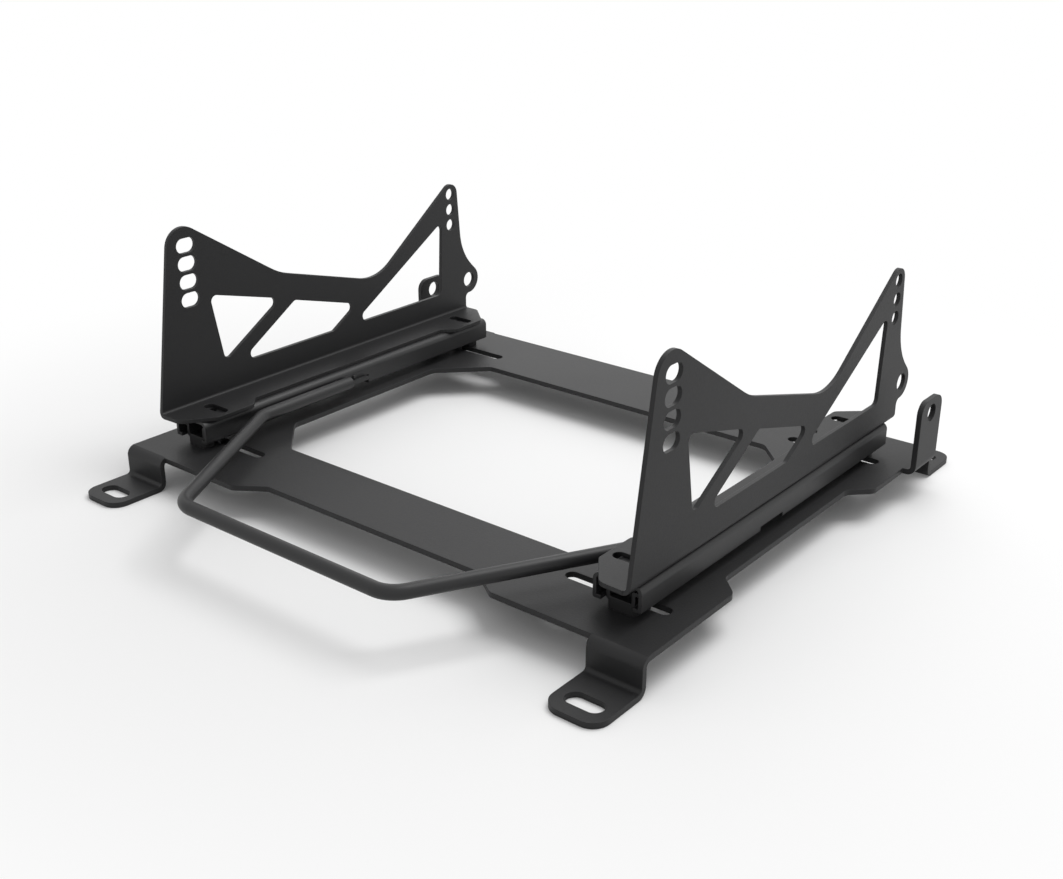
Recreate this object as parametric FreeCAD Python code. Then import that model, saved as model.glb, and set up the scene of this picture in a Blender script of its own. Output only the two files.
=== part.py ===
import FreeCAD, Part
import math
import os
from FreeCAD import Vector as V

# Seat base: a folded base plate, two roller slides with their release handle,
# and two side brackets. Millimetres. X runs across the seat, Y to the rear and
# Z up from the floor. Inside this file Y is counted from the front slide bolts;
# save() moves it to the middle of the base.

# Driving dimensions
RAIL_X = 199.5           # middle of the seat to the centre line of each slide
BOLT_PITCH = 281.2       # front to rear slide bolts
PLATE_TOP = 26.0         # upper face of the base plate over the floor
BRACKET_RISE = 141.2     # side bracket, foot to front peak
PLATE = 4.0              # base plate's sheet
SHEET = 3.0              # side brackets' sheet
RAIL_SHEET = 2.5         # slides' sheet

# Base plate
BEND = 3.0               # inside radius of every bend in the plate
PLATE_FRONT = -48.8      # front edge beside the legs
PLATE_WAIST = -33.6      # front edge between the chamfers
PLATE_BEHIND = 49.2      # rear slide bolts to the rear edge
PLATE_REAR = BOLT_PITCH + PLATE_BEHIND
WAIST_HALF = 100.5       # half width of the waisted stretch
WAIST_CHAMFER = 21.5
SIDE_OUT = 40.9          # from the slides' centre lines
SIDE = RAIL_X + SIDE_OUT             # half width over the legs
SIDE_IN = 14.9           # step of the sides between the legs
SIDE_MIDDLE = SIDE - SIDE_IN
SIDE_STEP = 43.9         # where the sides step in, from the slide bolts
SIDE_STEP_LENGTH = 14.5
CORNER = 8.0             # rounding of the plate's outline
OPEN_FRONT = 22.7        # central opening, front edge
OPEN_AHEAD = 23.6        # rear edge, ahead of the rear slide bolts
OPEN_REAR = BOLT_PITCH - OPEN_AHEAD
OPEN_IN = 24.3           # sides, inside the slides' centre lines
OPEN_HALF = RAIL_X - OPEN_IN
OPEN_CHAMFER = 36.2

# Legs and feet, front and rear
LEG_WIDTH = 40.2
LEG_FACE = -53.6         # front face of the front legs
FOOT_FRONT = -96.8
FOOT_CORNER = 12.0
FOOT_SLOT = 26.3
FOOT_SLOT_WIDTH = 13.1
FOOT_SLOT_EDGE = 16.1    # foot's end to the middle of its slot
REAR_LEG_OUT = 6.8       # rear legs' faces behind the rear edge
REAR_LEG_FACE = PLATE_REAR + REAR_LEG_OUT
REAR_FOOT = 42.7         # rear feet, from the legs' faces
FOOT_REAR = REAR_LEG_FACE + REAR_FOOT

# Rear lugs, bent up from the plate's side edges
LUG_OUT = 9.8
LUG_FACE = SIDE + LUG_OUT
LUG_WIDTH = 34.8
LUG_BEHIND = 20.0        # hole behind the rear slide bolts
LUG_HOLE_Y = BOLT_PITCH + LUG_BEHIND
LUG_HOLE = 13.6
LUG_RISE = 52.7
LUG_TOP = PLATE_TOP + LUG_RISE
LUG_CORNER = 9.5
LUG_HOLE_RISE = 41.5
LUG_HOLE_Z = PLATE_TOP + LUG_HOLE_RISE

# Slide bolts and their slots
BOLT = 8.0
SLOT_WIDTH = 9.5
SLOT_OUT = 24.2          # slots reach this far outside the slides' centre lines
SLOT_IN = 54.8           # and this far inside
REAR_SLOT_SHORTER = 1.7
BOLT_HEAD = 13.0         # across the flats
BOLT_HEAD_HEIGHT = 5.0
WASHER = 16.0
WASHER_THICK = 1.6
NUT_HEIGHT = 5.0
THREAD_GAP = 0.05        # radial gap drawn in a thread

# Slides
RAIL_WIDTH = 35.6
RAIL_RISE = 24.4         # slide's height over the plate
RAIL_TOP = PLATE_TOP + RAIL_RISE
RAIL_HEIGHT = 17.7
RAIL_FRONT = -22.6
RAIL_SPARE = 42.8        # length beyond the bolt pitch
RAIL_LENGTH = BOLT_PITCH + RAIL_SPARE
RAIL_LIP = 6.0
RAIL_ROUND = 5.0
RAIL_EDGE = 1.2          # rounding where the walls turn in to the lips
RAIL_NOTCH = 3.7         # notch in the outer wall, over the rail's lower face
LOWER_WIDTH = 21.0
LOWER_RISE = 6.0         # height of the pads under the lower rail
LOWER_BOTTOM = PLATE_TOP + LOWER_RISE
LOWER_INSET = 4.0        # lower rail ends inside the upper rail's
FOOT_PAD = 10.0          # length of the pads that carry the lower rail
FLANGE_HALF = 14.5
STUD_Y = -2.0            # upper rail's weld nuts from the slide bolts

# Rollers, cages and glide blocks
ROLLER = 4.75
ROLLER_GAP = 0.05
ROLLER_LENGTH = 3.2
ROLLER_LINE = 11.3       # rows of rollers from the slide's centre line
ROLLER_COUNT = 3
CAGE_LENGTH = 205.0
CAGE_END = 12.5          # cage's end to its first roller
CAGE_WIDTH = 5.8
CAGE_THICK = 1.4
CAGE_GAP = 0.1
GLIDE_LENGTH = 20.0
GLIDE_PITCH = 104.0
GLIDE_SIDE = 0.7         # to the rail's wall
GLIDE_PLAY = 0.3         # to the rack flange

# Release handle and latch
BAR = 10.0               # bar diameter
BAR_DROP = 7.9           # bar's axis under the slide's top
BAR_Z = RAIL_TOP - BAR_DROP
BAR_IN = 24.0            # inside the slide's centre line
BAR_X = RAIL_X - BAR_IN              # bar beside the slide
BAR_CORNER_X = 97.3      # front corners of the handle
BAR_FRONT = -111.1
BAR_BEND_Y = 27.4
BAR_BEND = 20.0          # radius of the bends beside the slides
BAR_CORNER = 20.0        # radius of the two front corners
PIVOT_Y = 111.4
BAR_PAST_PIN = 9.0
BAR_END = PIVOT_Y + BAR_PAST_PIN
PIN = 6.0
PIN_GAP = 0.05
PIN_DEPTH = 6.0          # pin's reach into the bar
CAP = 9.4                # lever's round end, welded to the bar
CAP_THICK = 1.5
LEVER = 2.5              # lever thickness
LEVER_LENGTH = 26.0
TOOTH = 5.0
TOOTH_PITCH = 10.0
TOOTH_COUNT = 2
TOOTH_THICK = 3.0
TOOTH_BITE = 3.0         # notch depth in the flange
TOOTH_GAP = 0.5
TOOTH_ARM = 21.5         # pivot to the first finger
LATCH_CLEAR = 0.3
NOTCH_COUNT = 20
WINDOW_LENGTH = 21.0     # window in the rail's wall for the fingers
WINDOW_LEAD = 2.5        # window ahead of the first finger
NOTCH_AHEAD = 13.0       # notch in the outer wall, ahead of the window's front
NOTCH_BEHIND = 16.3      # and behind it
SPRING_SLOT = 8.5        # slot for the lever's spring, behind the bar
SPRING_SLOT_HEIGHT = 1.4

# Side brackets: places in the upright are given from the front slide bolts
# and from the bracket's foot
BRACKET_OUT = 18.4
BRACKET_FACE = RAIL_X + BRACKET_OUT  # outer face
BRACKET_BEND = 2.0
BRACKET_FRONT = -36.6    # front edge at the foot
PEAK_Y = -12.1           # corner under the front rounding
PEAK_OVER = 10.4
PEAK_RISE = BRACKET_RISE + PEAK_OVER
BRACKET_BEHIND = 30.2
BRACKET_REAR = BOLT_PITCH + BRACKET_BEHIND
FRONT_ROUND = 15.5       # rounding over the front holes
REAR_ROUND = 9.0         # rounding over the rear holes
TAIL_ROUND = 12.6        # rounding round the tail hole
HOLE_PITCH = 13.95
FRONT_HOLE_Y = 1.0
FRONT_HOLE_DROP = 14.4   # highest front hole under the peak
FRONT_HOLE_RISE = BRACKET_RISE - FRONT_HOLE_DROP
FRONT_HOLE = 11.4        # front holes, height
FRONT_HOLE_LENGTH = 17.2
REAR_HOLE_BEHIND = 11.1
REAR_HOLE_Y = BOLT_PITCH + REAR_HOLE_BEHIND
REAR_HOLE_DROP = 13.45   # rear holes lower than the front ones
REAR_HOLE_RISE = FRONT_HOLE_RISE - REAR_HOLE_DROP
REAR_HOLE = 10.3
TAIL_HOLE = 13.6
TAIL_BEHIND = 23.6
TAIL_Y = REAR_HOLE_Y + TAIL_BEHIND
TAIL_RISE = 29.0
SHOULDER_Y = 89.0        # where the sloping top edge turns flatter
SHOULDER_DROP = 55.0
SHOULDER_RISE = BRACKET_RISE - SHOULDER_DROP
SHOULDER_ROUND = 70.0
DIP_AHEAD = 83.9
DIP_Y = BOLT_PITCH - DIP_AHEAD       # lowest point of the top edge
DIP_DROP = 85.8
DIP_RISE = BRACKET_RISE - DIP_DROP
DIP_ROUND = 43.0
NECK_RISE = 56.0         # hollow between the rear holes and the tail
NECK_ROUND = 50.0
TIP_Y = 7.9              # corner over the rear holes, from the highest of them
TIP_RISE = 16.4
NECK_Y = 14.3            # hollow, behind the rear holes
TAIL_REACH = 30.7        # corner behind the tail hole
BRACKET_CORNER = 4.5     # under the tail
WINDOW_SILL = 22.9       # lower edge of the windows, over the foot
WINDOW_ROUND = 4.5
WINDOW_POST = 54.9       # bracket's front edge to the first window
FRONT_WINDOW_TOP = 1.5   # front window's upper corners under the shoulder,
FRONT_WINDOW_REAR = 21.2
FRONT_WINDOW_AHEAD = 0.2     # the rear one ahead of it
FRONT_WINDOW_POINT = 9.7     # its lowest corner behind the post
FRONT_WINDOW_LIFT = 5.0      # and over the sill
MIDDLE_WINDOW_BEHIND = 13.6  # middle window's front upper corner from the shoulder
MIDDLE_WINDOW_TOP = 25.9
MIDDLE_WINDOW_AHEAD = 25.2   # its rear upper corner from the dip
MIDDLE_WINDOW_REAR = 15.3
MIDDLE_WINDOW_SILL = 54.0    # its lower corners, ahead of the dip and behind the post
MIDDLE_WINDOW_START = 23.2
REAR_WINDOW_AHEAD = 11.5     # rear window's upper corner from the rear holes
REAR_WINDOW_TOP = 22.5
REAR_WINDOW_END = 15.0       # its lower corners, ahead of the rear holes and of the dip
REAR_WINDOW_START = 32.0
FLANGE_SLOT = 24.0
FLANGE_SLOT_WIDTH = 9.0
FLANGE_SLOT_IN = 5.5
FLANGE_SLOT_X = RAIL_X - FLANGE_SLOT_IN
FLANGE_WIDE_IN = 21.5
FLANGE_WIDE = RAIL_X - FLANGE_WIDE_IN # inner edge of the flange at its ends
FLANGE_NARROW_IN = 11.6
FLANGE_NARROW = RAIL_X - FLANGE_NARROW_IN # and along the middle
FLANGE_STEP_FRONT = 21.9
FLANGE_STEP_AHEAD = 24.8
FLANGE_STEP_REAR = BOLT_PITCH - FLANGE_STEP_AHEAD
FLANGE_STEP = 9.9
FLANGE_FRONT_CUT = 34.0  # slanting front end of the flange, from the step
FLANGE_REAR_CUT = 20.5   # and rear end, from the bracket's rear edge
FLANGE_TIP = 8.0         # roundings of the flange's outline
FLANGE_CORNER = 6.0
FLANGE_BEND = 5.0
FLANGE_SLANT = 0.8

# Worked-out levels and lines
PLATE_BOTTOM = PLATE_TOP - PLATE
RAIL_BOTTOM = RAIL_TOP - RAIL_HEIGHT
RAIL_REAR = RAIL_FRONT + RAIL_LENGTH
RAIL_MIDDLE = RAIL_FRONT + RAIL_LENGTH / 2
RAIL_HALF = RAIL_WIDTH / 2
RAIL_INSIDE = RAIL_HALF - RAIL_SHEET
WEB_BOTTOM = RAIL_TOP - RAIL_SHEET
LIP_TOP = RAIL_BOTTOM + RAIL_SHEET
LIP_HALF = RAIL_HALF - RAIL_LIP
LOWER_HALF = LOWER_WIDTH / 2
LOWER_FRONT = RAIL_FRONT + LOWER_INSET
LOWER_REAR = RAIL_REAR - LOWER_INSET
LOWER_WEB = LOWER_BOTTOM + RAIL_SHEET
FLANGE_LEVEL = WEB_BOTTOM - ROLLER - ROLLER_GAP      # upper face of the lower rail's flanges
FLANGE_BOTTOM = FLANGE_LEVEL - RAIL_SHEET
WALL_FACE = RAIL_X - RAIL_HALF       # slide's inner wall, seat side
ROLLER_Z = (FLANGE_LEVEL + WEB_BOTTOM) / 2
GLIDE_TOP = FLANGE_BOTTOM - GLIDE_PLAY
TOOTH_TOP = FLANGE_BOTTOM - LATCH_CLEAR
TOOTH_TIP = RAIL_X - FLANGE_HALF + TOOTH_BITE - LATCH_CLEAR
TOOTH_Y = [PIVOT_Y + TOOTH_ARM + TOOTH_PITCH * i for i in range(TOOTH_COUNT)]
LUG_FRONT = LUG_HOLE_Y - LUG_WIDTH / 2
LUG_REAR = LUG_HOLE_Y + LUG_WIDTH / 2
BRACKET_INSIDE = BRACKET_FACE - SHEET
FRONT_HOLE_Z = RAIL_TOP + FRONT_HOLE_RISE
REAR_HOLE_Z = RAIL_TOP + REAR_HOLE_RISE
TAIL_Z = RAIL_TOP + TAIL_RISE
MIDDLE_Y = (BAR_FRONT - BAR / 2 + FOOT_REAR) / 2


def flat(a, b):
    return V(a, b, 0)


def side(a, b):
    return V(0, a, b)


def front(a, b):
    return V(a, 0, b)


def outline(corners, place=flat):
    """Closed face through corners (a, b, radius); place() puts (a, b) in a plane."""
    edges, previous, first = [], None, None
    for i, (a, b, radius) in enumerate(corners):
        here = V(a, b, 0)
        back = V(*corners[i - 1][:2], 0) - here
        on = V(*corners[(i + 1) % len(corners)][:2], 0) - here
        back.normalize()
        on.normalize()
        start = end = here
        arc = None
        if radius:
            half = back.getAngle(on) / 2
            toward = back + on
            toward.normalize()
            start = here + back * (radius / math.tan(half))
            end = here + on * (radius / math.tan(half))
            top = here + toward * (radius / math.sin(half) - radius)
            arc = [place(p.x, p.y) for p in (start, top, end)]
        if previous is not None:
            edges.append(Part.LineSegment(place(previous.x, previous.y), place(start.x, start.y)))
        else:
            first = start
        if arc:
            edges.append(Part.Arc(*arc))
        previous = end
    edges.append(Part.LineSegment(place(previous.x, previous.y), place(first.x, first.y)))
    return Part.Face(Part.Wire([edge.toShape() for edge in edges]))


def sheet_xy(corners, z, height):
    shape = outline(corners).extrude(V(0, 0, height))
    shape.translate(V(0, 0, z))
    return shape


def sheet_yz(corners, x, width):
    shape = outline(corners, side).extrude(V(width, 0, 0))
    shape.translate(V(x, 0, 0))
    return shape


def sheet_xz(corners, y, length):
    shape = outline(corners, front).extrude(V(0, length, 0))
    shape.translate(V(0, y, 0))
    return shape


def box(x0, x1, y0, y1, z0, z1):
    return Part.makeBox(x1 - x0, y1 - y0, z1 - z0, V(x0, y0, z0))


def rod(diameter, start, end):
    along = V(*end) - V(*start)
    return Part.makeCylinder(diameter / 2, along.Length, V(*start), along)


def obround(a0, a1, b, width):
    """Corners of a slot from a0 to a1, centred on b."""
    half, almost = width / 2, width / 2 - 0.001
    return [(a0, b - half, almost), (a1, b - half, almost),
            (a1, b + half, almost), (a0, b + half, almost)]


def mirror(shape):
    return shape.mirror(V(0, 0, 0), V(1, 0, 0))


def both(shape):
    return [shape, mirror(shape)]


def hexagon(across, height, x, y, z, bore):
    points = []
    for i in range(7):
        angle = math.radians(60 * i)
        reach = across / math.sqrt(3)
        points.append(V(x + reach * math.cos(angle), y + reach * math.sin(angle), z))
    block = Part.Face(Part.makePolygon(points)).extrude(V(0, 0, height))
    if bore:
        block = block.cut(rod(bore, (x, y, z - 1), (x, y, z + height + 1)))
    return block


def plate_outline():
    """Half outline of the base plate, front to rear on the +X side."""
    leg = SIDE - LEG_WIDTH
    return [
        (WAIST_HALF, PLATE_WAIST, CORNER),
        (WAIST_HALF + WAIST_CHAMFER, PLATE_FRONT, CORNER),
        (leg, PLATE_FRONT, 0),
        (leg, PLATE_FRONT + 1, 0),
        (SIDE, PLATE_FRONT + 1, 0),
        (SIDE, SIDE_STEP, CORNER),
        (SIDE_MIDDLE, SIDE_STEP + SIDE_STEP_LENGTH, CORNER),
        (SIDE_MIDDLE, BOLT_PITCH - SIDE_STEP - SIDE_STEP_LENGTH, CORNER),
        (SIDE, BOLT_PITCH - SIDE_STEP, CORNER),
        (SIDE, PLATE_REAR - 1, 0),
        (leg, PLATE_REAR - 1, 0),
        (leg, PLATE_REAR, 0),
    ]


def opening_outline():
    inner = OPEN_HALF - OPEN_CHAMFER
    half = [
        (inner, OPEN_FRONT, CORNER),
        (OPEN_HALF, OPEN_FRONT + OPEN_CHAMFER, CORNER),
        (OPEN_HALF, OPEN_REAR - OPEN_CHAMFER, CORNER),
        (inner, OPEN_REAR, CORNER),
    ]
    return half + [(-x, y, r) for x, y, r in reversed(half)]


def leg(face, end):
    """Leg bent down at face, with a foot that runs on to end."""
    way = 1 if end > face else -1
    root, bend = face - way * 20, PLATE + BEND
    profile = [
        (root, PLATE_TOP, 0), (face, PLATE_TOP, bend), (face, PLATE, BEND),
        (end, PLATE, 0), (end, 0, 0), (face - way * PLATE, 0, bend),
        (face - way * PLATE, PLATE_BOTTOM, BEND), (root, PLATE_BOTTOM, 0),
    ]
    inner = SIDE - LEG_WIDTH
    shape = sheet_yz(profile, inner, LEG_WIDTH)
    mask = [(inner, end, FOOT_CORNER), (SIDE, end, FOOT_CORNER), (SIDE, root, 0), (inner, root, 0)]
    shape = shape.common(sheet_xy(mask, -1, PLATE_TOP + 2))
    middle, reach = SIDE - LEG_WIDTH / 2, FOOT_SLOT / 2
    slot = obround(middle - reach, middle + reach, end - way * FOOT_SLOT_EDGE, FOOT_SLOT_WIDTH)
    return shape.cut(sheet_xy(slot, -1, PLATE + 2))


def rear_lug():
    root = SIDE - 10
    profile = [
        (root, PLATE_BOTTOM, 0), (LUG_FACE, PLATE_BOTTOM, PLATE + BEND),
        (LUG_FACE, LUG_TOP, 0), (LUG_FACE - PLATE, LUG_TOP, 0),
        (LUG_FACE - PLATE, PLATE_TOP, BEND), (root, PLATE_TOP, 0),
    ]
    lug = sheet_xz(profile, LUG_FRONT, LUG_WIDTH)
    mask = [(LUG_FRONT, 0, 0), (LUG_REAR, 0, 0),
            (LUG_REAR, LUG_TOP, LUG_CORNER), (LUG_FRONT, LUG_TOP, LUG_CORNER)]
    lug = lug.common(sheet_yz(mask, root - 1, LUG_FACE - root + 2))
    hole = (LUG_HOLE_Y, LUG_HOLE_Z)
    return lug.cut(rod(LUG_HOLE, (root, *hole), (LUG_FACE + 5, *hole)))


def base_plate():
    half = plate_outline()
    plate = sheet_xy(half + [(-x, y, r) for x, y, r in reversed(half)], PLATE_BOTTOM, PLATE)
    plate = plate.cut(sheet_xy(opening_outline(), PLATE_BOTTOM - 1, PLATE + 2))
    slots = []
    for y, shorter in ((0, 0), (BOLT_PITCH, REAR_SLOT_SHORTER)):
        slot = obround(RAIL_X - SLOT_IN + shorter, RAIL_X + SLOT_OUT - shorter, y, SLOT_WIDTH)
        slots += both(sheet_xy(slot, PLATE_BOTTOM - 1, PLATE + 2))
    plate = plate.cut(slots)
    legs = both(leg(LEG_FACE, FOOT_FRONT)) + both(leg(REAR_LEG_FACE, FOOT_REAR))
    plate = plate.fuse(legs + both(rear_lug()))
    return plate.removeSplitter()


def upper_rail():
    lip, inside = LIP_HALF, RAIL_INSIDE
    half = [
        (lip, RAIL_BOTTOM, 0), (RAIL_HALF, RAIL_BOTTOM, RAIL_EDGE),
        (RAIL_HALF, RAIL_TOP, RAIL_ROUND), ]
    inner = [
        (inside, WEB_BOTTOM, RAIL_ROUND - RAIL_SHEET), (inside, LIP_TOP, 0), (lip, LIP_TOP, 0), ]
    profile = ([(-x, z, r) for x, z, r in half] + [(x, z, r) for x, z, r in reversed(half)]
               + [(x, z, r) for x, z, r in reversed(inner)] + [(-x, z, r) for x, z, r in inner])
    rail = sheet_xz(profile, RAIL_FRONT, RAIL_LENGTH)
    rail.translate(V(RAIL_X, 0, 0))
    window = TOOTH_Y[0] - TOOTH / 2 - WINDOW_LEAD
    slot = BAR_END + CAP_THICK
    slot_end, slot_half = slot + SPRING_SLOT, SPRING_SLOT_HEIGHT / 2
    rail = rail.fuse(box(WALL_FACE - 1.2, WALL_FACE + 1, slot_end + 0.3, slot_end + 3.3,
                         BAR_Z - slot_half, BAR_Z + 2))
    cuts = [
        box(WALL_FACE - 1, RAIL_X - LIP_HALF + 0.5, window, window + WINDOW_LENGTH,
            RAIL_BOTTOM - 1, TOOTH_TOP + LATCH_CLEAR),
        box(RAIL_X + LIP_HALF - 0.5, RAIL_X + RAIL_HALF + 1, window - NOTCH_AHEAD, window + NOTCH_BEHIND,
            RAIL_BOTTOM - 1, RAIL_BOTTOM + RAIL_NOTCH),
        box(WALL_FACE - 1, WALL_FACE + RAIL_SHEET + 1, slot, slot_end,
            BAR_Z - slot_half, BAR_Z + slot_half),
        rod(PIN, (WALL_FACE - 1, PIVOT_Y, BAR_Z), (RAIL_X - 12, PIVOT_Y, BAR_Z)),
    ]
    for y in (STUD_Y, BOLT_PITCH + STUD_Y):
        cuts.append(rod(BOLT + 0.5, (RAIL_X, y, RAIL_TOP + 1), (RAIL_X, y, WEB_BOTTOM - 1)))
    return rail.cut(cuts)


def lower_rail():
    inner = LOWER_HALF - RAIL_SHEET
    half = [
        (LOWER_HALF, LOWER_BOTTOM, 2.0), (LOWER_HALF, FLANGE_BOTTOM, 0.8),
        (FLANGE_HALF, FLANGE_BOTTOM, 0), (FLANGE_HALF, FLANGE_LEVEL, 0),
        (inner, FLANGE_LEVEL, 2.0), (inner, LOWER_WEB, 0.8), ]
    profile = half + [(-x, z, r) for x, z, r in reversed(half)]
    length = LOWER_REAR - LOWER_FRONT
    rail = sheet_xz(profile, LOWER_FRONT, length)
    pads = []
    for y in (LOWER_FRONT, LOWER_REAR - FOOT_PAD):
        corners = [(-LOWER_HALF, y, 3), (LOWER_HALF, y, 3),
                   (LOWER_HALF, y + FOOT_PAD, 3), (-LOWER_HALF, y + FOOT_PAD, 3)]
        pads.append(sheet_xy(corners, PLATE_TOP, LOWER_WEB - PLATE_TOP))
    rail = rail.fuse(pads)
    rail.translate(V(RAIL_X, 0, 0))
    cuts = []
    first = (TOOTH_Y[0] + TOOTH_Y[-1]) / 2 - TOOTH_PITCH * (NOTCH_COUNT - 1) / 2
    wide = TOOTH / 2 + TOOTH_GAP
    for i in range(NOTCH_COUNT):
        y = first + TOOTH_PITCH * i
        edge = RAIL_X - FLANGE_HALF
        cuts.append(box(edge - 1, edge + TOOTH_BITE, y - wide, y + wide,
                        FLANGE_BOTTOM - 1, FLANGE_LEVEL + 1))
    for y in (0, BOLT_PITCH):
        cuts.append(rod(BOLT + 0.5, (RAIL_X, y, LOWER_BOTTOM - 1), (RAIL_X, y, LOWER_WEB + 1)))
    return rail.cut(cuts).removeSplitter()


def roller_places(row):
    run = CAGE_LENGTH - 2 * CAGE_END
    start, pitch = RAIL_MIDDLE - run / 2, run / (ROLLER_COUNT - 1)
    return [(RAIL_X + row * ROLLER_LINE, start + pitch * i) for i in range(ROLLER_COUNT)]


def rollers():
    half = ROLLER_LENGTH / 2
    return [rod(ROLLER, (x - half, y, ROLLER_Z), (x + half, y, ROLLER_Z))
            for row in (-1, 1) for x, y in roller_places(row)]


def cages():
    strips = []
    long, wide = ROLLER_LENGTH / 2 + CAGE_GAP, ROLLER / 2 + CAGE_GAP
    low, high = ROLLER_Z - CAGE_THICK / 2, ROLLER_Z + CAGE_THICK / 2
    for row in (-1, 1):
        middle = RAIL_X + row * ROLLER_LINE
        strip = box(middle - CAGE_WIDTH / 2, middle + CAGE_WIDTH / 2, RAIL_MIDDLE - CAGE_LENGTH / 2,
                    RAIL_MIDDLE + CAGE_LENGTH / 2, low, high)
        pockets = [box(x - long, x + long, y - wide, y + wide, low - 1, high + 1)
                   for x, y in roller_places(row)]
        strips.append(strip.cut(pockets))
    return strips


def glides():
    blocks = []
    for row in (-1, 1):
        inner, outer = LIP_HALF, RAIL_INSIDE - GLIDE_SIDE
        x0, x1 = sorted((RAIL_X + row * inner, RAIL_X + row * outer))
        for end in (-1, 1):
            y = RAIL_MIDDLE + end * GLIDE_PITCH / 2
            blocks.append(box(x0, x1, y - GLIDE_LENGTH / 2, y + GLIDE_LENGTH / 2,
                              LIP_TOP, GLIDE_TOP))
    return blocks


def handle_bar():
    points = [(-BAR_X, BAR_END, 0), (-BAR_X, BAR_BEND_Y, BAR_BEND),
              (-BAR_CORNER_X, BAR_FRONT, BAR_CORNER), (BAR_CORNER_X, BAR_FRONT, BAR_CORNER),
              (BAR_X, BAR_BEND_Y, BAR_BEND), (BAR_X, BAR_END, 0)]
    edges, previous = [], V(*points[0][:2], BAR_Z)
    for i in range(1, len(points) - 1):
        here = V(*points[i][:2], BAR_Z)
        back = V(*points[i - 1][:2], BAR_Z) - here
        on = V(*points[i + 1][:2], BAR_Z) - here
        back.normalize()
        on.normalize()
        half = back.getAngle(on) / 2
        radius = points[i][2]
        toward = back + on
        toward.normalize()
        start = here + back * (radius / math.tan(half))
        end = here + on * (radius / math.tan(half))
        top = here + toward * (radius / math.sin(half) - radius)
        edges += [Part.LineSegment(previous, start).toShape(), Part.Arc(start, top, end).toShape()]
        previous = end
    edges.append(Part.LineSegment(previous, V(*points[-1][:2], BAR_Z)).toShape())
    path = Part.Wire(edges)
    ring = Part.Wire(Part.Circle(V(*points[0][:2], BAR_Z), V(0, 1, 0), BAR / 2).toShape())
    bar = path.makePipeShell([ring], True, True)
    start = BAR_X + BAR / 2 - PIN_DEPTH - PIN_GAP
    hole = rod(PIN + 2 * PIN_GAP, (start, PIVOT_Y, BAR_Z), (BAR_X + BAR, PIVOT_Y, BAR_Z))
    return bar.cut(both(hole))


def latch_lever():
    """Flat lever behind the bar's end, with the fingers that lock into the rack."""
    outer = WALL_FACE - 0.5
    inner, end = outer - LEVER, BAR_END + LEVER_LENGTH
    low = TOOTH_TOP - TOOTH_THICK
    cap = rod(CAP, (BAR_X, BAR_END, BAR_Z), (BAR_X, BAR_END + CAP_THICK, BAR_Z))
    blade = sheet_yz([(BAR_END, low + 0.5, 0), (end, low, 1.5),
                      (end, TOOTH_TOP + 0.5, 1.5), (BAR_END, TOOTH_TOP + 1.0, 0)], inner, LEVER)
    first, last = TOOTH_Y[0] - TOOTH / 2, TOOTH_Y[-1] + TOOTH / 2
    tongue = box(inner + 0.5, RAIL_X - FLANGE_HALF - 0.7, first, last, low, TOOTH_TOP)
    fingers = [box(RAIL_X - FLANGE_HALF - 1.7, TOOTH_TIP, y - TOOTH / 2, y + TOOTH / 2,
                   low, TOOTH_TOP) for y in TOOTH_Y]
    return cap.fuse([blade, tongue] + fingers).removeSplitter()


def latch_pin():
    start = BAR_X + BAR / 2 - PIN_DEPTH
    return rod(PIN, (start, PIVOT_Y, BAR_Z), (WALL_FACE + RAIL_SHEET, PIVOT_Y, BAR_Z))


def side_bracket():
    low, bend = RAIL_TOP, SHEET + BRACKET_BEND
    flange, top = FLANGE_WIDE - 2, RAIL_TOP + PEAK_RISE
    rear = TAIL_Y + 2 * TAIL_ROUND
    angle = sheet_xz([(flange, low, 0), (BRACKET_FACE, low, bend), (BRACKET_FACE, top, 0),
                      (BRACKET_INSIDE, top, 0), (BRACKET_INSIDE, low + SHEET, BRACKET_BEND),
                      (flange, low + SHEET, 0)], BRACKET_FRONT, rear - BRACKET_FRONT)
    upright = angle.common(sheet_yz(upright_outline(), BRACKET_FACE - bend, bend + 1))
    foot = angle.common(sheet_xy(foot_outline(), low - 1, SHEET + 2))
    return upright.fuse(foot).cut(bracket_holes()).removeSplitter()


def upright_outline():
    low = RAIL_TOP - 1
    return [
        (BRACKET_FRONT, low, 0),
        (PEAK_Y, RAIL_TOP + PEAK_RISE, FRONT_ROUND),
        (SHOULDER_Y, RAIL_TOP + SHOULDER_RISE, SHOULDER_ROUND),
        (DIP_Y, RAIL_TOP + DIP_RISE, DIP_ROUND),
        (REAR_HOLE_Y + TIP_Y, REAR_HOLE_Z + TIP_RISE, REAR_ROUND),
        (REAR_HOLE_Y + NECK_Y, RAIL_TOP + NECK_RISE, NECK_ROUND),
        (TAIL_Y + TAIL_REACH, TAIL_Z - TAIL_ROUND, TAIL_ROUND),
        (BRACKET_REAR, TAIL_Z - TAIL_ROUND, BRACKET_CORNER),
        (BRACKET_REAR, low, 0),
    ]


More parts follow.
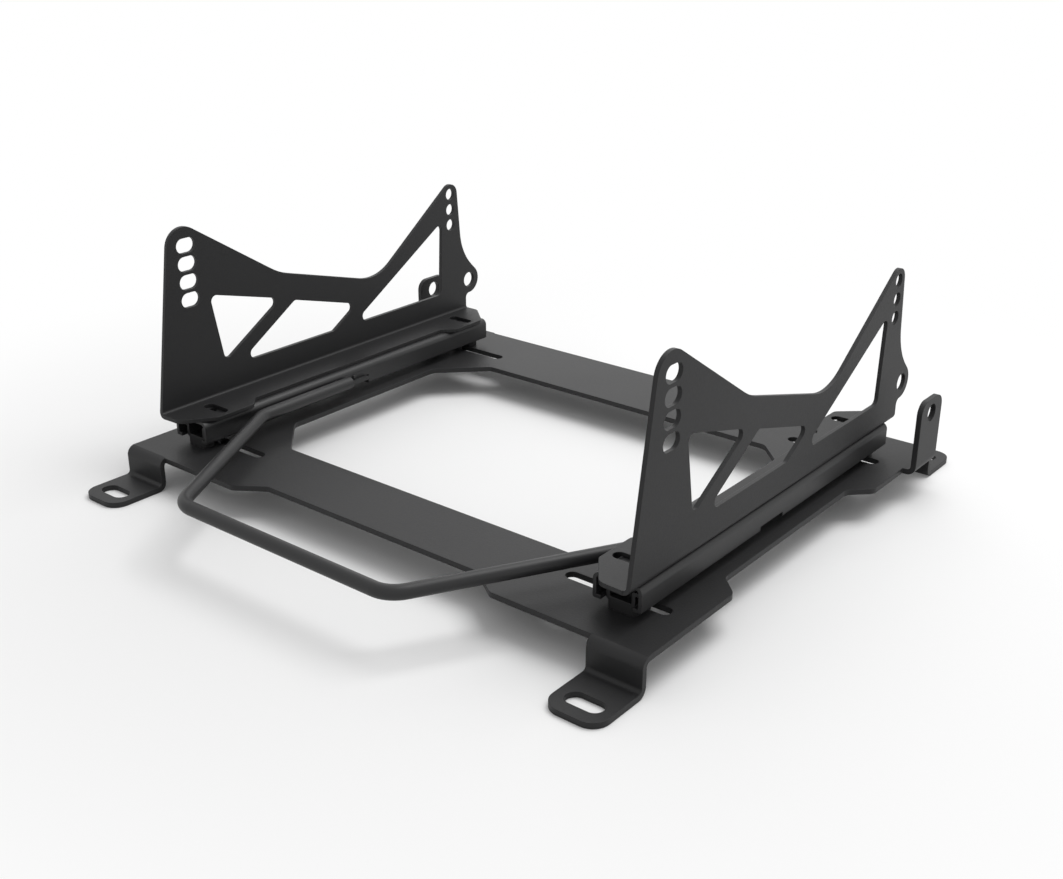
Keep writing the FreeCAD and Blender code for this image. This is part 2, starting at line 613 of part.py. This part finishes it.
def foot_outline():
    edge = BRACKET_FACE - SHEET - BRACKET_BEND
    half_width = edge - FLANGE_WIDE
    return [
        (edge, BRACKET_FRONT, 0),
        (edge - half_width / 2, BRACKET_FRONT + FLANGE_SLANT, FLANGE_TIP),
        (FLANGE_WIDE, FLANGE_STEP_FRONT - FLANGE_FRONT_CUT, FLANGE_CORNER),
        (FLANGE_WIDE, FLANGE_STEP_FRONT, FLANGE_BEND),
        (FLANGE_NARROW, FLANGE_STEP_FRONT + FLANGE_STEP, FLANGE_BEND),
        (FLANGE_NARROW, FLANGE_STEP_REAR - FLANGE_STEP, FLANGE_BEND),
        (FLANGE_WIDE, FLANGE_STEP_REAR, FLANGE_BEND),
        (FLANGE_WIDE, BRACKET_REAR - FLANGE_REAR_CUT, FLANGE_CORNER),
        (edge - half_width / 3, BRACKET_REAR, FLANGE_TIP),
        (edge, BRACKET_REAR, 0),
    ]


def bracket_windows():
    """Three lightening windows, parted by two slanting struts."""
    sill = RAIL_TOP + WINDOW_SILL
    shoulder, dip = RAIL_TOP + SHOULDER_RISE, RAIL_TOP + DIP_RISE
    post = BRACKET_FRONT + WINDOW_POST
    return (
        [(post, shoulder - FRONT_WINDOW_TOP),
         (SHOULDER_Y - FRONT_WINDOW_AHEAD, shoulder - FRONT_WINDOW_REAR),
         (post + FRONT_WINDOW_POINT, sill + FRONT_WINDOW_LIFT)],
        [(SHOULDER_Y + MIDDLE_WINDOW_BEHIND, shoulder - MIDDLE_WINDOW_TOP),
         (DIP_Y - MIDDLE_WINDOW_AHEAD, dip - MIDDLE_WINDOW_REAR),
         (DIP_Y - MIDDLE_WINDOW_SILL, sill), (post + MIDDLE_WINDOW_START, sill)],
        [(REAR_HOLE_Y - REAR_WINDOW_AHEAD, REAR_HOLE_Z - REAR_WINDOW_TOP),
         (REAR_HOLE_Y - REAR_WINDOW_END, sill), (DIP_Y - REAR_WINDOW_START, sill)],
    )


def bracket_holes():
    x, width = BRACKET_INSIDE - 1, SHEET + 2
    cuts = []
    reach = FRONT_HOLE_LENGTH / 2
    for i in range(4):
        level = FRONT_HOLE_Z - HOLE_PITCH * i
        slot = obround(FRONT_HOLE_Y - reach, FRONT_HOLE_Y + reach, level, FRONT_HOLE)
        cuts.append(sheet_yz(slot, x, width))
    for i in range(3):
        level = REAR_HOLE_Z - HOLE_PITCH * i
        cuts.append(rod(REAR_HOLE, (x, REAR_HOLE_Y, level), (x + width, REAR_HOLE_Y, level)))
    cuts.append(rod(TAIL_HOLE, (x, TAIL_Y, TAIL_Z), (x + width, TAIL_Y, TAIL_Z)))
    for corners in bracket_windows():
        cuts.append(sheet_yz([(y, z, WINDOW_ROUND) for y, z in corners], x, width))
    reach = FLANGE_SLOT / 2
    for y in (STUD_Y, BOLT_PITCH + STUD_Y):
        slot = obround(FLANGE_SLOT_X - reach, FLANGE_SLOT_X + reach, y, FLANGE_SLOT_WIDTH)
        cuts.append(sheet_xy(slot, RAIL_TOP - 1, SHEET + 2))
    return cuts


def bolts():
    shapes = []
    low = PLATE_BOTTOM - WASHER_THICK
    for y in (0, BOLT_PITCH):
        head = hexagon(BOLT_HEAD, BOLT_HEAD_HEIGHT, RAIL_X, y, low - BOLT_HEAD_HEIGHT, 0)
        shank = rod(BOLT, (RAIL_X, y, low - 0.5), (RAIL_X, y, LOWER_WEB + NUT_HEIGHT + 0.5))
        shapes += both(head.fuse(shank))
    return shapes


def washers():
    shapes = []
    for y in (0, BOLT_PITCH):
        disc = rod(WASHER, (RAIL_X, y, PLATE_BOTTOM - WASHER_THICK), (RAIL_X, y, PLATE_BOTTOM))
        hole = rod(BOLT + 0.4, (RAIL_X, y, PLATE_BOTTOM - 5), (RAIL_X, y, PLATE_BOTTOM + 5))
        shapes += both(disc.cut(hole))
    return shapes


def nuts():
    shapes = []
    for y in (0, BOLT_PITCH):
        shapes += both(hexagon(BOLT_HEAD, NUT_HEIGHT, RAIL_X, y, LOWER_WEB, BOLT + 2 * THREAD_GAP))
    return shapes


def weld_nuts():
    return [hexagon(BOLT_HEAD, NUT_HEIGHT, RAIL_X, y, WEB_BOTTOM - NUT_HEIGHT, BOLT)
            for y in (STUD_Y, BOLT_PITCH + STUD_Y)]


def save(name, *shapes):
    solids = []
    for shape in shapes:
        solids += shape.Solids
    group = solids[0] if len(solids) == 1 else Part.makeCompound(solids)
    group = group.copy()
    group.translate(V(0, -MIDDLE_Y, 0))
    group.exportStep("parts/" + name + ".step")
    print(name, len(solids), round(sum(s.Volume for s in solids)),
          all(s.isValid() for s in solids))


def save_pair(name, *shapes):
    save(name + "_right", *shapes)
    save(name + "_left", *[mirror(shape) for shape in shapes])


def main():
    os.makedirs("parts", exist_ok=True)
    save("base_plate", base_plate())
    save("slide_bolts", *bolts())
    save("slide_washers", *washers())
    save("slide_nuts", *nuts())
    save_pair("lower_rail", lower_rail())
    save_pair("upper_rail", upper_rail())
    save_pair("roller_cage", *cages())
    save_pair("rollers", *rollers())
    save_pair("glide_blocks", *glides())
    save_pair("weld_nuts", *weld_nuts())
    save_pair("side_bracket", side_bracket())
    save("release_handle", handle_bar())
    save_pair("latch_lever", latch_lever())
    save_pair("latch_pin", latch_pin())


main()
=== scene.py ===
import bpy
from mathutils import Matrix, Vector

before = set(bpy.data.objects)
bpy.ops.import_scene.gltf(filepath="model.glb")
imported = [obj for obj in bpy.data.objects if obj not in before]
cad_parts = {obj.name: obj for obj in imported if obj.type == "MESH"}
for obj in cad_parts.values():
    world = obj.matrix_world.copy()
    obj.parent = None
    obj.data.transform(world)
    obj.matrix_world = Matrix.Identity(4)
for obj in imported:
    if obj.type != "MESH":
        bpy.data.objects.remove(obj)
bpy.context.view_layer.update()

# The seat base in its studio: black powder-coated sheet steel on a pale floor.
# Lengths are in metres, as in the frame.

# Camera of the photograph
CAMERA_PLACE = Vector((0.6004, -0.7303, 0.4392))
CAMERA_TARGET = Vector((0.0220, -0.0155, 0.0460))
LENS_MM = 45.77
SENSOR_MM = 36.0
CLIP_NEAR = 0.01
CLIP_FAR = 50.0

# Floor, background and lamps
FLOOR_SIZE = 24.0
FLOOR_LEVEL = -0.0003   # just under the feet
FLOOR_COLOUR = (0.86, 0.86, 0.86, 1.0)
FLOOR_ROUGHNESS = 0.85
FLOOR_SPECULAR = 0.1
FLOOR_GRAIN = 60.0      # waves per metre
FADE_NEAR = 0.22        # the floor keeps its shadows this far from the middle,
FADE_FAR = 0.66         # and is plain white background from here on
WHITE = (1.0, 1.0, 1.0, 1.0)
WORLD_LIGHT = 0.55
BACKGROUND_WHITE = 1.0
LAMP_TARGET = Vector((0.0, 0.0, 0.05))
TOP_LAMP_PLACE = Vector((0.38, 0.50, 1.55))
TOP_LAMP_SIZE = 1.15
TOP_LAMP_POWER = 18.5
REAR_LAMP_PLACE = Vector((-1.25, 1.55, 1.15))
REAR_LAMP_SIZE = 1.6
REAR_LAMP_POWER = 6.0

# Colours of the finishes
COAT_BLACK = (0.015, 0.015, 0.0155)
# pale coat: random paler tone of the patterns, and the painted highlight on edges
COAT_PALE_TONE_AND_HIGHLIGHT = (0.028, 0.028, 0.029)
RAIL_BLACK = (0.013, 0.013, 0.0135)
BAR_BLACK = (0.015, 0.015, 0.0155)
ZINC_BLACK = (0.030, 0.030, 0.032)
ZINC_PALE = (0.060, 0.060, 0.064)
ROLLER_STEEL = (0.55, 0.55, 0.56)
CAGE_STEEL = (0.36, 0.36, 0.37)
GLIDE_BLACK = (0.022, 0.022, 0.022)

# Gloss of the finishes
COAT_SPECULAR = 0.26
RAIL_SPECULAR = 0.40
BAR_SPECULAR = 0.36
COAT_ROUGHNESS = 0.41
RAIL_ROUGHNESS = 0.36
BAR_ROUGHNESS = 0.40
ZINC_ROUGHNESS = 0.34
ROLLER_ROUGHNESS = 0.16
CAGE_ROUGHNESS = 0.32
GLIDE_ROUGHNESS = 0.5
ZINC_METAL = 0.75

# How much clouds, grain and marks dull each finish, and rubbing polishes it
COAT_CLOUD_DULL = 0.06
COAT_GRAIN_DULL = 0.10
COAT_EDGE_POLISH = 0.04
RAIL_CLOUD_DULL = 0.08
RAIL_GRAIN_DULL = 0.05
BAR_CLOUD_DULL = 0.05
BAR_GRAIN_DULL = 0.06
ZINC_CLOUD_DULL = 0.16
ZINC_CLOUD_METAL = 0.25   # and how much metal the clouds hide
ROLLER_GRAIN_DULL = 0.10
CAGE_MARK_DULL = 0.2
GLIDE_GRAIN_DULL = 0.12
FLOOR_GRAIN_DULL = 0.1

# How much paler the patterns make each finish
COAT_SPECKLE_PALE = 0.35
RAIL_CLOUD_PALE = 0.4
BAR_CLOUD_PALE = 0.5
GLIDE_GRAIN_PALE = 0.5

# Eased edges, and how much paler the coat is painted along them, as a painted edge highlight
SHEET_EDGE = 0.0007
RAIL_EDGE = 0.0005
EDGE_SAMPLES = 6
HIGHLIGHT_STARTS = 0.02       # turn of the normal, as 1 - cosine
HIGHLIGHT_FULL = 0.25
# how far the edges are painted toward the pale coat: a painted highlight
EDGE_HIGHLIGHT = 0.6

# Patterns of the finishes, in waves per metre
CLOUDING = 9.0
RAIL_CLOUDING = CLOUDING * 3
BAR_CLOUDING = CLOUDING * 2
ZINC_CLOUDING = CLOUDING * 14
ROLLING_MARKS = CLOUDING * 40
POWDER_GRAIN = 760.0
FINE_SPECKLE = 2600.0

# Depth of their relief
SPECKLE_RELIEF = 0.6    # beside the grain's
POWDER_RELIEF = 0.00007
RAIL_RELIEF = 0.00004
BAR_RELIEF = 0.00005
ZINC_RELIEF = 0.00003
ROLLER_RELIEF = 0.00001
CAGE_RELIEF = 0.00002
GLIDE_RELIEF = 0.00003


class Link:
    """A socket that is worked with as a number; each operation adds a Math node."""

    def __init__(self, tree, socket):
        self.tree, self.socket = tree, socket

    def _math(self, operation, first, second):
        return self.tree.add("ShaderNodeMath", {"operation": operation}, [first, second])

    def __add__(self, other):
        return self._math("ADD", self, other)

    def __radd__(self, other):
        return self._math("ADD", other, self)

    def __sub__(self, other):
        return self._math("SUBTRACT", self, other)

    def __rsub__(self, other):
        return self._math("SUBTRACT", other, self)

    def __mul__(self, other):
        return self._math("MULTIPLY", self, other)

    def __rmul__(self, other):
        return self._math("MULTIPLY", other, self)

    def max(self, other):
        return self._math("MAXIMUM", self, other)


class NodeTree:
    """The nodes of one material, or of the world."""

    def __init__(self, owner):
        owner.use_nodes = True
        self.nodes, self.links = owner.node_tree.nodes, owner.node_tree.links
        self.nodes.clear()

    def add(self, kind, settings=None, inputs=None, output=0):
        """Adds a node: its settings first, then its sockets, by place or by name."""
        node = self.nodes.new(kind)
        for name, value in (settings or {}).items():
            if name == "stops":
                set_stops(node.color_ramp, value)
            else:
                setattr(node, name, value)
        pairs = inputs.items() if isinstance(inputs, dict) else enumerate(inputs or [])
        for key, value in pairs:
            if isinstance(value, Link):
                self.links.new(value.socket, node.inputs[key])
            elif value is not None:
                node.inputs[key].default_value = value
        return Link(self, node.outputs[output]) if node.outputs else None

    def place(self):
        return self.add("ShaderNodeTexCoord", output="Object")

    def noise(self, scale, detail):
        return self.add("ShaderNodeTexNoise", {},
                        {"Vector": self.place(), "Scale": scale, "Detail": detail})

    def ramp(self, value, *stops):
        return self.add("ShaderNodeValToRGB", {"stops": stops}, {"Fac": value})

    def colours(self, share, first, second):
        return self.add("ShaderNodeMix", {"data_type": "RGBA"},
                        {0: share, 6: (*first, 1.0), 7: (*second, 1.0)}, output=2)

    def rounded(self, radius):
        """The normal of the surface with its edges eased by this radius."""
        return self.add("ShaderNodeBevel", {"samples": EDGE_SAMPLES}, {"Radius": radius})

    def bump(self, height, distance, strength, normal=None):
        return self.add("ShaderNodeBump", {},
                        {"Height": height, "Distance": distance, "Strength": strength,
                         "Normal": normal})

    def surface(self, **sockets):
        """Ends the tree in a Principled shader; underscores stand for spaces."""
        shader = self.add("ShaderNodeBsdfPrincipled", {},
                          {name.replace("_", " "): value for name, value in sockets.items()})
        self.add("ShaderNodeOutputMaterial", {}, {"Surface": shader})


def set_stops(ramp, stops):
    while len(ramp.elements) < len(stops):
        ramp.elements.new(0.5)
    for element, (position, level) in zip(ramp.elements, stops):
        element.position = position
        element.color = (level, level, level, 1.0)


def new_material(name):
    material = bpy.data.materials.new(name)
    return material, NodeTree(material)


def edge_highlight_mask(tree, rounded):
    """How near the surface is to an edge, from 0 on flats to 1 on the edge itself; it masks the
    painted edge highlight.
    """
    flat = tree.add("ShaderNodeNewGeometry", output="True Normal")
    agreement = tree.add("ShaderNodeVectorMath", {"operation": "DOT_PRODUCT"},
                         [rounded, flat], output=1)
    return tree.ramp(1 - agreement, (HIGHLIGHT_STARTS, 0.0), (HIGHLIGHT_FULL, 1.0))


def powder_coat():
    """Satin black powder coat: fine orange peel, faint clouding, and a painted highlight that
    makes the edges paler.
    """
    material, tree = new_material("powder_coat")
    clouds = tree.noise(CLOUDING, detail=2.0)
    grain = tree.noise(POWDER_GRAIN, detail=2.0)
    speckle = tree.noise(FINE_SPECKLE, detail=1.0)
    rounded = tree.rounded(SHEET_EDGE)
    edges = edge_highlight_mask(tree, rounded)
    tree.surface(
        # the edges are painted paler as a painted highlight; the speckle is the coat's own
        # random tone
        Base_Color=tree.colours(edges * EDGE_HIGHLIGHT + speckle * COAT_SPECKLE_PALE,
                                COAT_BLACK, COAT_PALE_TONE_AND_HIGHLIGHT),
        Roughness=(COAT_ROUGHNESS + clouds * COAT_CLOUD_DULL + grain * COAT_GRAIN_DULL
                   - edges * COAT_EDGE_POLISH),
        Specular_IOR_Level=COAT_SPECULAR,
        Normal=tree.bump(grain + speckle * SPECKLE_RELIEF, POWDER_RELIEF, strength=0.8,
                         normal=rounded))
    return material


def rail_coat():
    """Smoother black coat of the slides, painted a little paler along the edges as a painted
    highlight.
    """
    material, tree = new_material("rail_coat")
    clouds = tree.noise(RAIL_CLOUDING, detail=2.0)
    grain = tree.noise(POWDER_GRAIN, detail=2.0)
    rounded = tree.rounded(RAIL_EDGE)
    edges = edge_highlight_mask(tree, rounded)
    tree.surface(
        # clouds give the coat's own random tone; the edges are painted paler as a painted
        # highlight
        Base_Color=tree.colours(clouds * RAIL_CLOUD_PALE + edges * EDGE_HIGHLIGHT,
                                RAIL_BLACK, COAT_PALE_TONE_AND_HIGHLIGHT),
        Roughness=RAIL_ROUGHNESS + clouds * RAIL_CLOUD_DULL + grain * RAIL_GRAIN_DULL,
        Specular_IOR_Level=RAIL_SPECULAR,
        Normal=tree.bump(grain, RAIL_RELIEF, strength=0.25, normal=rounded))
    return material


def handle_coat():
    """Satin black of the release bar and its levers."""
    material, tree = new_material("handle_coat")
    clouds = tree.noise(BAR_CLOUDING, detail=2.0)
    grain = tree.noise(POWDER_GRAIN, detail=2.0)
    tree.surface(
        Base_Color=tree.colours(clouds * BAR_CLOUD_PALE, BAR_BLACK, COAT_PALE_TONE_AND_HIGHLIGHT),
        Roughness=BAR_ROUGHNESS + clouds * BAR_CLOUD_DULL + grain * BAR_GRAIN_DULL,
        Specular_IOR_Level=BAR_SPECULAR,
        Normal=tree.bump(grain, BAR_RELIEF, strength=0.3))
    return material


def black_zinc():
    """Black zinc plate of the fasteners, with a thin oily sheen."""
    material, tree = new_material("black_zinc")
    clouds = tree.noise(ZINC_CLOUDING, detail=3.0)
    grain = tree.noise(FINE_SPECKLE, detail=1.0)
    tree.surface(
        Base_Color=tree.colours(clouds, ZINC_BLACK, ZINC_PALE),
        Metallic=ZINC_METAL - clouds * ZINC_CLOUD_METAL,
        Roughness=ZINC_ROUGHNESS + clouds * ZINC_CLOUD_DULL,
        Normal=tree.bump(grain, ZINC_RELIEF, strength=0.2))
    return material


def bearing_steel():
    """Ground steel of the rollers."""
    material, tree = new_material("bearing_steel")
    grain = tree.noise(FINE_SPECKLE, detail=1.0)
    tree.surface(
        Base_Color=tree.colours(grain, ROLLER_STEEL, CAGE_STEEL),
        Metallic=1.0,
        Roughness=ROLLER_ROUGHNESS + grain * ROLLER_GRAIN_DULL,
        Normal=tree.bump(grain, ROLLER_RELIEF, strength=0.1))
    return material


def cage_steel():
    """Stamped strip that keeps the rollers apart, with rolling marks."""
    material, tree = new_material("cage_steel")
    marks = tree.noise(ROLLING_MARKS, detail=4.0)
    tree.surface(
        Base_Color=tree.colours(marks, CAGE_STEEL, ZINC_PALE),
        Metallic=1.0,
        Roughness=CAGE_ROUGHNESS + marks * CAGE_MARK_DULL,
        Normal=tree.bump(marks, CAGE_RELIEF, strength=0.2))
    return material


def glide_plastic():
    """Moulded black plastic of the glide blocks."""
    material, tree = new_material("glide_plastic")
    grain = tree.noise(FINE_SPECKLE, detail=1.0)
    tree.surface(
        Base_Color=tree.colours(grain * GLIDE_GRAIN_PALE, GLIDE_BLACK, COAT_PALE_TONE_AND_HIGHLIGHT),
        Roughness=GLIDE_ROUGHNESS + grain * GLIDE_GRAIN_DULL,
        Normal=tree.bump(grain, GLIDE_RELIEF, strength=0.3))
    return material


FINISHES = {
    powder_coat: ("base_plate", "side_bracket"),
    rail_coat: ("upper_rail", "lower_rail"),
    handle_coat: ("release_handle", "latch_lever"),
    black_zinc: ("slide_bolts", "slide_washers", "slide_nuts", "weld_nuts", "latch_pin"),
    bearing_steel: ("rollers",),
    cage_steel: ("roller_cage",),
    glide_plastic: ("glide_blocks",),
}


def finish_parts():
    """Gives every part of the frame its finish."""
    for finish, stems in FINISHES.items():
        material = finish()
        for name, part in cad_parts.items():
            if name.removesuffix("_left").removesuffix("_right") in stems:
                for slot in part.material_slots:
                    slot.material = material


def seen_plainly(tree):
    """1 for rays from the camera or off gloss or glass, which see the plain background."""
    rays = [tree.add("ShaderNodeLightPath", output=name)
            for name in ("Is Camera Ray", "Is Glossy Ray", "Is Transmission Ray")]
    return rays[0].max(rays[1]).max(rays[2])


def make_world():
    """Lights the base evenly, and shows white behind it."""
    world = bpy.data.worlds.new("studio")
    bpy.context.scene.world = world
    tree = NodeTree(world)
    light = tree.add("ShaderNodeBackground", {}, {"Color": WHITE, "Strength": WORLD_LIGHT})
    white = tree.add("ShaderNodeBackground", {}, {"Color": WHITE, "Strength": BACKGROUND_WHITE})
    mixed = tree.add("ShaderNodeMixShader", {}, [seen_plainly(tree), light, white])
    tree.add("ShaderNodeOutputWorld", {}, {"Surface": mixed})


def floor_material():
    """Pale paint that turns into the white background away from the base."""
    material, tree = new_material("studio_floor")
    grain = tree.noise(FLOOR_GRAIN, detail=2.0)
    paint = tree.add("ShaderNodeBsdfPrincipled", {},
                     {"Base Color": FLOOR_COLOUR,
                      "Roughness": FLOOR_ROUGHNESS + grain * FLOOR_GRAIN_DULL,
                      "Specular IOR Level": FLOOR_SPECULAR})
    white = tree.add("ShaderNodeEmission", {}, {"Color": WHITE, "Strength": BACKGROUND_WHITE})
    distance = tree.add("ShaderNodeVectorMath", {"operation": "LENGTH"},
                        [tree.place()], output=1)
    far = tree.add("ShaderNodeMapRange", {"interpolation_type": "SMOOTHSTEP"},
                   {"Value": distance, "From Min": FADE_NEAR, "From Max": FADE_FAR})
    mixed = tree.add("ShaderNodeMixShader", {}, [seen_plainly(tree) * far, paint, white])
    tree.add("ShaderNodeOutputMaterial", {}, {"Surface": mixed})
    return material


def make_floor():
    half = FLOOR_SIZE / 2
    mesh = bpy.data.meshes.new("studio_floor")
    corners = [(-half, -half), (half, -half), (half, half), (-half, half)]
    mesh.from_pydata([(x, y, FLOOR_LEVEL) for x, y in corners], [], [(0, 1, 2, 3)])
    mesh.materials.append(floor_material())
    floor = bpy.data.objects.new("studio_floor", mesh)
    bpy.context.scene.collection.objects.link(floor)


def aim(thing, place, target):
    """Stands a lamp or the camera at its place, looking at its target."""
    thing.location = place
    thing.rotation_mode = "QUATERNION"
    thing.rotation_quaternion = (target - place).to_track_quat("-Z", "Y")


def area_lamp(name, place, size, power):
    lamp = bpy.data.lights.new(name, "AREA")
    lamp.shape, lamp.size, lamp.energy = "SQUARE", size, power
    thing = bpy.data.objects.new(name, lamp)
    thing.visible_camera = False
    bpy.context.scene.collection.objects.link(thing)
    aim(thing, place, LAMP_TARGET)


def make_lamps():
    area_lamp("top_lamp", TOP_LAMP_PLACE, TOP_LAMP_SIZE, TOP_LAMP_POWER)
    area_lamp("rear_lamp", REAR_LAMP_PLACE, REAR_LAMP_SIZE, REAR_LAMP_POWER)


def make_camera():
    """The camera of the photograph, solved from the base's own straight lines."""
    camera = bpy.data.cameras.new("camera")
    camera.lens, camera.sensor_width, camera.sensor_fit = LENS_MM, SENSOR_MM, "HORIZONTAL"
    camera.clip_start, camera.clip_end = CLIP_NEAR, CLIP_FAR
    thing = bpy.data.objects.new("camera", camera)
    bpy.context.scene.collection.objects.link(thing)
    aim(thing, CAMERA_PLACE, CAMERA_TARGET)
    bpy.context.scene.camera = thing


finish_parts()
make_world()
make_floor()
make_lamps()
make_camera()
bpy.context.scene.view_settings.view_transform = "Standard"
